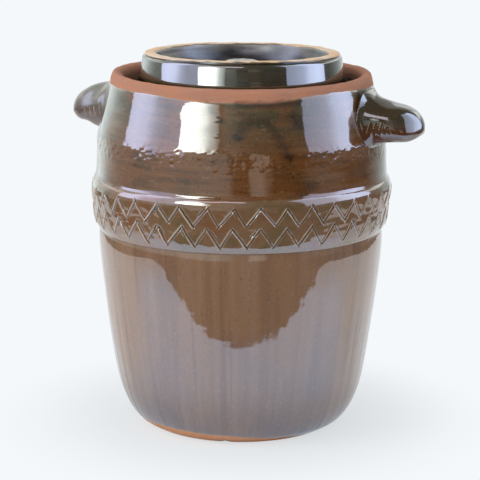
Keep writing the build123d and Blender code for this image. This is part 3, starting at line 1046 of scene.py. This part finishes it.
lid = {
    # in from the dish's radius and down from its top: the wall, the lip with its groove, and the hollow
    "wallMm": (
        (5.8, 25.6), (2.7, 23.6), (0.8, 21.4), (0.1, 19.6), (0, 17.8), (0.35, 14.8), (0.85, 10.8),
        (1.35, 6.6), (1.55, 4.8), (1.8, 3.7), (2.35, 2.9),
    ),
    "lipMm": (
        (2.35, 2.9), (3.1, 2.4), (4.0, 2.2), (4.7, 1.9), (4.2, 1.55), (3.7, 1.1), (3.9, 0.55), (4.5, 0.2),
        (5.7, 0),
    ),
    "hollowMm": (
        (10.9, 0), (11.6, 0.25), (12.4, 1.3), (13.4, 6.0), (15.7, 11.6), (20.1, 16.8), (27.3, 19.8),
        (35.3, 20.5),
    ),
    "hollowFaces": (69.3, 276),  # faces inside this radius and above this height wear the dish's glaze
    "grooveShadeHeight": 298.1,  # painted shade along the line cut under the bare rim
    "grooveShadeWidth": 0.4,
    "grooveShadeInside": 76.0,
    "bareFromMm": 298.4,
    "bareWander": (0.12, 20, 60, 8, 53),
    "bareInsideMm": 299.1,
    "insideWander": (0.2, 26, 60, 8, 55),
    "smearedMm": 1.35,  # glaze smeared thinly onto the bare rim at the front and back
    "smears": (0.1, 25, 4, 12, 56),
    "rimMiddle": 70.5,
    "rimLiftMm": 0.8,  # the hand-thrown wall stands twice this higher at the front than at the back
    "liftedMm": (280, 297),
    "dips": (0.16, 40, 40, 14, 52),  # in the flat rim
    "rimSunkMm": 0.2,
    "topMm": (299.2, 299.8),
    "rings": (0.05, 300, 5, 20, 54),  # left by the fingers inside the dish
    "reliefFromMm": (274, 280),
    "thrownShare": 0.5,
    "fineness": (480, 0.28),
}
skirt = {
    "wall": 7.0,
    "edgeMm": ((0, 2.2), (1, 0.5), (2.6, 0)),  # in from the sides and up from the foot
    "intoDish": 0.5,
    "bareMm": 2.0,  # the foot stood bare in the kiln
    "thrownShare": 1.2,
    "fineness": (300, 0.3),
}


def buildDish():
    wall, lip, hollow = (
        [(dishRadius - inwards, dishTop - down) for inwards, down in lid[label]]
        for label in ("wallMm", "lipMm", "hollowMm")
    )
    runs = [
        (straightLine([(0, dishBottom), (skirtRadius, dishBottom)]), 9),
        (smoothLine([(skirtRadius, dishBottom)] + wall), 0.8),
        (smoothLine(lip), 0.35),
        (straightLine([lip[-1], hollow[0]]), 1.2),
        (smoothLine(hollow), 1.1),
        (straightLine([hollow[-1], (0, knobBottom)]), 6),
    ]

    def relief(angles, height, radius, outward):
        outside = outerFace(outward) * smoothStep(*lid["reliefFromMm"], height)
        wall = outside * thrownRelief(angles, height, lid["thrownShare"])
        dips = ripples(angles, height, lid["dips"]) - lid["rimSunkMm"]
        rings = ripples(angles, height, lid["rings"])
        return wall + smoothStep(*lid["topMm"], height) * dips + smoothStep(-0.2, -0.6, outward) * rings

    def lift(angles, height):
        return lid["rimLiftMm"] * (1 + towardsPhoto(angles)) * smoothStep(*lid["liftedMm"], height)

    def bare(angles, height, radius, outward):
        outer = height - lid["bareFromMm"] - ripples(angles, 0 * angles, lid["bareWander"])
        inner = height - lid["bareInsideMm"] + ripples(angles, 0 * angles, lid["insideWander"])
        smeared = lid["smearedMm"] * smoothStep(0.6, 0.92, np.abs(towardsPhoto(angles)))
        smeared = smeared * (0.9 + ripples(angles, height, lid["smears"]))
        return np.where(radius > lid["rimMiddle"], outer - smeared, inner - 0.4 * smeared)

    # painted shade: a dark line along the groove cut under the bare rim
    def groove(angles, height, radius, outward):
        across = (height - lid["grooveShadeHeight"]) / lid["grooveShadeWidth"]
        return np.exp(-(across**2)) * (radius > lid["grooveShadeInside"])

    def hollowFaces(middles):
        inside, above = lid["hollowFaces"]
        return (np.hypot(middles[:, 0], middles[:, 1]) < inside) & (middles[:, 2] > above)

    layers = {"bareClay": bare, "strokeDepth": groove}
    piece = turnedPiece(
        "lidDish", lid["fineness"], runs, relief, layers, closed=False, shared=False, lift=lift
    )
    dress(piece, "lid", "lid_dish", "lid", ("dish", hollowFaces))


def buildSkirt():
    inside, top = skirtRadius - skirt["wall"], skirtTop + skirt["intoDish"]
    edge = [(inside + across, skirtBottom + up) for across, up in skirt["edgeMm"]]
    edge += [(skirtRadius - across, skirtBottom + up) for across, up in skirt["edgeMm"][::-1]]
    runs = [
        (smoothLine(edge), 0.8),
        (straightLine([edge[-1], (skirtRadius, top)]), 2),
        (straightLine([(skirtRadius, top), (inside, top), edge[0]]), 4),
    ]

    def foot(angles, height, radius, outward):
        return skirtBottom + skirt["bareMm"] - height + 0 * angles

    def relief(angles, height, radius, outward):
        return outerFace(outward) * thrownRelief(angles, height, skirt["thrownShare"])

    piece = turnedPiece("lidSkirt", skirt["fineness"], runs, relief, {"bareClay": foot}, shared=False)
    dress(piece, "lid", "lid_skirt", "lid")


knob = {
    "rootMm": ((0.86, -0.1), (0.76, 0.6)),  # share of the radius, and up from the dish's floor
    "sunk": 0.4,
    "lumps": (0.12, 14, 9, 12, 61),
    "lumpRadius": 15.0,
    "lumpsFromMm": (281, 285),
    "fineness": (120, 0.35),
}
# across, as shares of the knob's radius, and up its stem and button
knobShares = (
    (0.74, 0), (0.69, 0.12), (0.7, 0.3), (0.82, 0.44), (0.97, 0.6), (1, 0.72), (0.93, 0.88), (0.78, 0.965),
    (0.55, 1),
)


def buildKnob():
    rise = knobTop - knobBottom
    curve = [(knobRadius * across, knobBottom + rise * up) for across, up in knobShares]
    root = [(knobRadius * across, knobBottom + up) for across, up in knob["rootMm"]]
    under = knobBottom - knob["sunk"]
    runs = [
        (straightLine([(0, under), (root[0][0], under)]), 3),
        (smoothLine(root + curve[1:]), 0.6),
        (straightLine([curve[-1], (0, knobTop)]), 1.5),
    ]

    def relief(angles, height, radius, outward):
        lumps = ripples(angles, height, knob["lumps"], knob["lumpRadius"])
        return lumps * smoothStep(*knob["lumpsFromMm"], height)

    layers = {"bareClay": glazedOver}
    piece = turnedPiece("lidKnob", knob["fineness"], runs, relief, layers, closed=False, shared=False)
    dress(piece, "knob", "lid_knob", "lid")


buildLower()
buildUpper()
buildChannel()
buildBand()
buildHandle("right")
buildHandle("left")
buildDish()
buildSkirt()
buildKnob()


# Studio: a pale floor, soft light, and panels that only the glaze reflects

studio = {
    "backdropHex": "#f4f8fb",
    "paperHex": "#eef1f4",
    "skyStrength": 0.62,  # plain soft light from all round
    "lampSize": 1.4,
    "lampAim": (0, 0, 0.15),
    # place as (right, forward, up) in the photograph's frame, watts, colour
    "lamps": {
        "keyLamp": ((-1.75, -0.85, 1.45), 18.0, (1.0, 0.98, 0.95)),
        "fillLamp": ((1.5, -0.8, 1.3), 1.2, (0.93, 0.96, 1.0)),
    },
    "floorSize": 14.0,
    "paperGlow": 0.67,  # share of the near floor shown at the backdrop's own colour
    "paperFade": (0.095, 0.22),  # metres from the jar's axis over which the rest fades in
    "contactGlow": 0.7,  # how bright the floor's mirror image is in the glaze right at the foot
    "contactFade": (0.08, 0.18),
    "shine": (1.0, 1.28, 1.67, 1),  # in front of the jar the shiny paper throws the sky's blue into the glaze
    "shineFrom": (-0.02, 0.12),
    "shineEnds": (0.34, 0.55),
    "paperEdges": (-0.63, 0.66, -0.25),  # metres: where the white paper ends at the left, right and front
    "darkHeight": 0.001,
    "dark": ((1.0, 0.85, 0.7), 0.05, 0.06),  # colour of the dark room, strength of its floor and ceiling
    "panelRadius": 0.42,  # metres from the jar's axis
    "panelBottom": 0.24,
    "panelTop": 0.85,
    "roomRadius": 1.2,
    "ceiling": 1.1,
    "opening": (-0.3, 0.66, -0.36),  # the dark ceiling's front and back edges, and its left edge between them
    "paleCeiling": ((1.0, 1.0, 0.94), 0.3),
    "window": (0.9, 1.0, 0.97),
    "windowInset": 0.005,  # just before the soft boxes
}
softboxRows = ((studio["panelBottom"] - 0.012, 1), (studio["panelBottom"], 0), (studio["panelTop"], 0))
paleWallRows = ((0.45, 1), (0.51, 0), (0.74, 0), (0.8, 1))
# What the glaze reflects: two soft boxes, a bright window, and a dim room that is paler at its sides. Columns
# are (degrees to the right of the photograph's camera, strength at share 0, strength at share 1), and rows
# are (metres up, share).
panels = {
    "leftSoftbox": {
        "tint": (0.66, 0.72, 1.0), "radius": studio["panelRadius"], "rows": softboxRows,
        "columns": (
            (-95, 0, 0), (-93.5, 4.2, 0), (-84, 5.0, 0), (-74, 4.7, 0), (-66, 2.7, 0), (-58, 1.85, 0),
            (-41, 1.85, 0),
        ),
    },
    "rightSoftbox": {
        "tint": (0.62, 0.72, 1.0), "radius": studio["panelRadius"], "rows": softboxRows,
        "columns": (
            (46, 2.0, 0), (56, 2.3, 0), (67, 2.9, 0), (75, 4.6, 0), (88, 5.2, 0), (97, 4.2, 0), (98.5, 0, 0),
        ),
    },
    "highWindow": {
        "tint": (0.96, 0.86, 1.0), "radius": studio["panelRadius"], "rows": ((0.462, 0), (0.66, 0)),
        "columns": ((-46, 3.2, 0), (-6, 3.0, 0), (2, 2.4, 0)),
    },
    "room": {
        "tint": (0.86, 1.0, 1.0), "radius": studio["roomRadius"],
        "rows": ((-0.02, 0), (0.33, 0), (0.43, 1), (studio["ceiling"], 1)),
        "columns": (
            (-152, 1.45, 1.4), (-135, 1.35, 1.4), (-127, 1.0, 1.4), (-119, 0.65, 1.2), (-111, 0.45, 0.6),
            (-100, 0.38, 0.2), (-88, 0.38, 0.05), (-60, 0.5, 0.05), (-20, 0.56, 0.05), (-13, 0.5, 0.3),
            (-8, 0.4, 0.28), (-5, 0.05, 0.22), (4, 0.03, 0.15), (24, 0.02, 0.08), (44, 0.01, 0.06),
            (50, 0.1, 0.05), (62, 0.2, 0.1), (78, 0.15, 0.1), (90, 0.08, 0.05), (112, 0.1, 0.1),
            (121, 0.3, 0.3), (129, 0.45, 0.42), (137, 0.65, 0.6), (152, 0.95, 0.95),
        ),
    },
    "doorway": {
        "tint": (1.0, 0.9, 0.8), "radius": studio["roomRadius"] - 0.05,
        "rows": ((-0.01, 0), (0.27, 0), (0.4, 1), (0.6, 1)),
        "columns": (
            (5.5, 0.04, 0.04), (7.5, 0.6, 0.1), (15, 0.72, 0.12), (18, 0.42, 0.08), (21, 0.2, 0.06),
            (24, 0.02, 0.03),
        ),
    },
    "paleWallLeft": {
        "tint": (1.0, 1.0, 0.96), "radius": studio["roomRadius"] - 0.1, "rows": paleWallRows,
        "columns": ((-150, 1.6, 0), (-100, 1.6, 0), (-93, 0.8, 0)),
    },
    "paleWallRight": {
        "tint": (1.0, 1.0, 0.96), "radius": studio["roomRadius"] - 0.1, "rows": paleWallRows,
        "columns": ((93, 0.8, 0), (100, 1.7, 0), (150, 1.7, 0)),
    },
}
# the window's top falls away to the right, where a curtain dims it: degrees, bottom, top, strength
windowCorners = (
    (-45, 0.3, 0.38, 9), (-41, 0.3, 0.41, 9), (-38, 0.3, 0.45, 9), (-33, 0.3, 0.45, 9),
    (-28, 0.301, 0.42, 7.5), (-23, 0.303, 0.4, 3.2), (-17, 0.306, 0.38, 0.9),
)


def inPhotoFrame(right, forward, up):
    # a place as the photograph's camera sees it, turned into the jar's own frame
    c, s = math.cos(math.radians(photoTurn)), math.sin(math.radians(photoTurn))
    return (right * c - forward * s, right * s + forward * c, up)


def standing(degrees, radius, up):
    # a place round the jar, at degrees to the right of the photograph's camera
    turn = math.radians(degrees)
    return inPhotoFrame(radius * math.sin(turn), -radius * math.cos(turn), up)


def glossyOnly(name, points, faces, colour, glow):
    # a card that lights nothing and shows only in the glaze's gloss; glow gives each point's strength
    mesh = bpy.data.meshes.new(name)
    mesh.from_pydata(points, [], faces)
    layer = mesh.attributes.new("glow", "FLOAT", "POINT")
    layer.data.foreach_set("value", np.array(glow, np.float32))
    material, tree = newMaterial(name + "Light")
    strength = addNode(tree, "Attribute", output="Fac", attribute_name="glow")
    shader = addNode(tree, "Emission", {"Color": (*colour, 1), "Strength": strength})
    addNode(tree, "OutputMaterial", {"Surface": shader})
    mesh.materials.append(material)
    card = addObject(name, mesh)
    card.visible_camera = False
    card.visible_diffuse = False
    card.visible_shadow = False
    card.visible_transmission = False


def gridFaces(rows, columns):
    return [
        (row * columns + i, row * columns + i + 1, (row + 1) * columns + i + 1, (row + 1) * columns + i)
        for row in range(rows - 1)
        for i in range(columns - 1)
    ]


def uprightPanel(name, panel):
    # part of an upright cylinder round the jar
    points, glow = [], []
    knots, lows, highs = zip(*panel["columns"])
    turns = sorted(set(knots) | set(np.arange(min(knots), max(knots), 3.0)))
    for height, share in panel["rows"]:
        for degrees in turns:
            low, high = np.interp(degrees, knots, lows), np.interp(degrees, knots, highs)
            points.append(standing(degrees, panel["radius"], height))
            glow.append(low + (high - low) * share)
    glossyOnly(name, points, gridFaces(len(panel["rows"]), len(turns)), panel["tint"], glow)


def windowPanel():
    radius = studio["panelRadius"] - studio["windowInset"]
    points = [standing(corner[0], radius, corner[k]) for k in (1, 2) for corner in windowCorners]
    glow = [corner[3] for corner in windowCorners] * 2
    glossyOnly("window", points, gridFaces(2, len(windowCorners)), studio["window"], glow)


def flatPanel(name, corners, height, colour, strength):
    # corners as (right, forward) metres in the photograph's frame
    points = [inPhotoFrame(x, y, height) for x, y in corners]
    glossyOnly(name, points, [tuple(range(len(points)))], colour, [strength] * len(points))


def areaLamp(name, place, watts, colour):
    light = bpy.data.lights.new(name, "AREA")
    light.shape, light.size, light.energy, light.color = "DISK", studio["lampSize"], watts, colour
    lamp = addObject(name, light)
    lamp.location = inPhotoFrame(*place)
    lamp.rotation_euler = (Vector(studio["lampAim"]) - lamp.location).to_track_quat("-Z", "Y").to_euler()
    lamp.visible_glossy = False


def shownRays(tree):
    # 1 for rays from the camera, or seen in gloss or through glass
    path = addNode(tree, "LightPath", output="Is Camera Ray").node
    rays = [path.outputs[label] for label in ("Is Camera Ray", "Is Glossy Ray", "Is Transmission Ray")]
    seen = addNode(tree, "Math", {0: rays[0], 1: rays[1]}, operation="MAXIMUM")
    return addNode(tree, "Math", {0: seen, 1: rays[2]}, operation="MAXIMUM")


def buildSky():
    world = bpy.data.worlds.new("studio")
    bpy.context.scene.world = world
    world.use_nodes = True
    tree = world.node_tree
    tree.nodes.clear()
    seen = shownRays(tree)
    soft = addNode(tree, "Background", {"Color": [1, 1, 1, 1], "Strength": studio["skyStrength"]})
    shown = addNode(tree, "Background", {"Color": linearColour(studio["backdropHex"]), "Strength": 1.0})
    mixed = addNode(tree, "MixShader", {0: seen, 1: soft, 2: shown})
    addNode(tree, "OutputWorld", {"Surface": mixed})


def palePaper():
    # pale paper near the jar, which keeps its shadow, fading to the backdrop's colour further off
    material, tree = newMaterial("palePaper")
    place = addNode(tree, "TexCoord", output="Object")
    far = addNode(tree, "VectorMath", {0: place}, output="Value", operation="LENGTH")
    front = addNode(
        tree, "VectorMath", {0: place, 1: inPhotoFrame(0, -1, 0)}, output="Value", operation="DOT_PRODUCT"
    )
    shares = {}
    for name, value, fade, start, end in (
        ("glowing", far, "paperFade", studio["paperGlow"], 1.0),
        ("ahead", front, "shineFrom", 0.0, 1.0),
        ("near", far, "shineEnds", 1.0, 0.0),
        ("contact", far, "contactFade", studio["contactGlow"], 1.0),
    ):
        low, high = studio[fade]
        span = {"Value": value, "From Min": low, "From Max": high, "To Min": start, "To Max": end}
        shares[name] = addNode(tree, "MapRange", span, interpolation_type="SMOOTHSTEP")
    inGloss = addNode(tree, "LightPath", output="Is Glossy Ray")
    blue = addNode(tree, "Math", {0: shares["ahead"], 1: shares["near"]}, operation="MULTIPLY")
    blue = addNode(tree, "Math", {0: blue, 1: inGloss}, operation="MULTIPLY")
    # the glaze mirrors the foot's own shadow on the paper
    strength = addNode(tree, "Mix", {0: inGloss, 2: 1.0, 3: shares["contact"]}, data_type="FLOAT")
    colours = {6: linearColour(studio["backdropHex"]), 7: studio["shine"]}
    shine = addNode(tree, "Mix", {0: blue, **colours}, output=2, data_type="RGBA")
    fade = addNode(tree, "Math", {0: shares["glowing"], 1: shownRays(tree)}, operation="MULTIPLY")
    paper = addNode(tree, "BsdfDiffuse", {"Color": linearColour(studio["paperHex"])})
    glow = addNode(tree, "Emission", {"Color": shine, "Strength": strength})
    mixed = addNode(tree, "MixShader", {0: fade, 1: paper, 2: glow})
    addNode(tree, "OutputMaterial", {"Surface": mixed})
    return material


def buildFloor():
    mesh = bpy.data.meshes.new("paperFloor")
    size = studio["floorSize"]
    corners = [(-size, -size, 0), (size, -size, 0), (size, size, 0), (-size, size, 0)]
    mesh.from_pydata(corners, [], [(0, 1, 2, 3)])
    mesh.materials.append(palePaper())
    addObject("paperFloor", mesh)


def buildReflections():
    for name, panel in panels.items():
        uprightPanel(name, panel)
    windowPanel()
    # the room's dark floor round the paper, and its ceiling with a paler part behind the jar
    far = studio["roomRadius"]
    left, right, front = studio["paperEdges"]
    dark, floorStrength, ceilingStrength = studio["dark"]
    darkFloor = {
        "darkFront": [(-far, front), (-far, -far), (far, -far), (far, front)],
        "darkLeft": [(-far, far), (-far, front), (left, front), (left, far)],
        "darkRight": [(right, far), (right, front), (far, front), (far, far)],
    }
    for name, corners in darkFloor.items():
        flatPanel(name, corners, studio["darkHeight"], dark, floorStrength)
    near, back, side = studio["opening"]
    over = [(-far, near), (-far, -far), (far, -far), (far, back), (side, back), (side, near)]
    flatPanel("darkCeiling", over, studio["ceiling"], dark, ceilingStrength)
    behind = [(side, back), (far, back), (far, 2 * far), (side, 2 * far)]
    flatPanel("dimCeiling", behind, studio["ceiling"], *studio["paleCeiling"])


buildSky()
buildFloor()
buildReflections()
for name, (place, watts, colour) in studio["lamps"].items():
    areaLamp(name, place, watts, colour)
print("studio ready")


# Camera, at the photograph's viewing angle

cameraSetup = {
    "distance": 1.4803,
    "height": 0.4695,
    "pitch": 12.287,
    "yaw": 0.034,
    "roll": 0.35,
    "lensMm": 139.7,
    "sensorMm": 36.0,
    "clipEnd": 60.0,
}


def buildCamera():
    data = bpy.data.cameras.new("photoCamera")
    data.lens, data.sensor_width = cameraSetup["lensMm"], cameraSetup["sensorMm"]
    data.clip_end = cameraSetup["clipEnd"]
    camera = addObject("photoCamera", data)
    pitch, yaw, roll = (math.radians(cameraSetup[label]) for label in ("pitch", "yaw", "roll"))
    camera.matrix_world = (
        Matrix.Translation(inPhotoFrame(0, -cameraSetup["distance"], cameraSetup["height"]))
        @ Matrix.Rotation(math.radians(photoTurn) + yaw, 4, "Z")
        @ Matrix.Rotation(math.pi / 2 - pitch, 4, "X")
        @ Matrix.Rotation(roll, 4, "Z")
    )
    bpy.context.scene.camera = camera


buildCamera()
bpy.context.scene.view_settings.view_transform = "Standard"
print("camera ready")
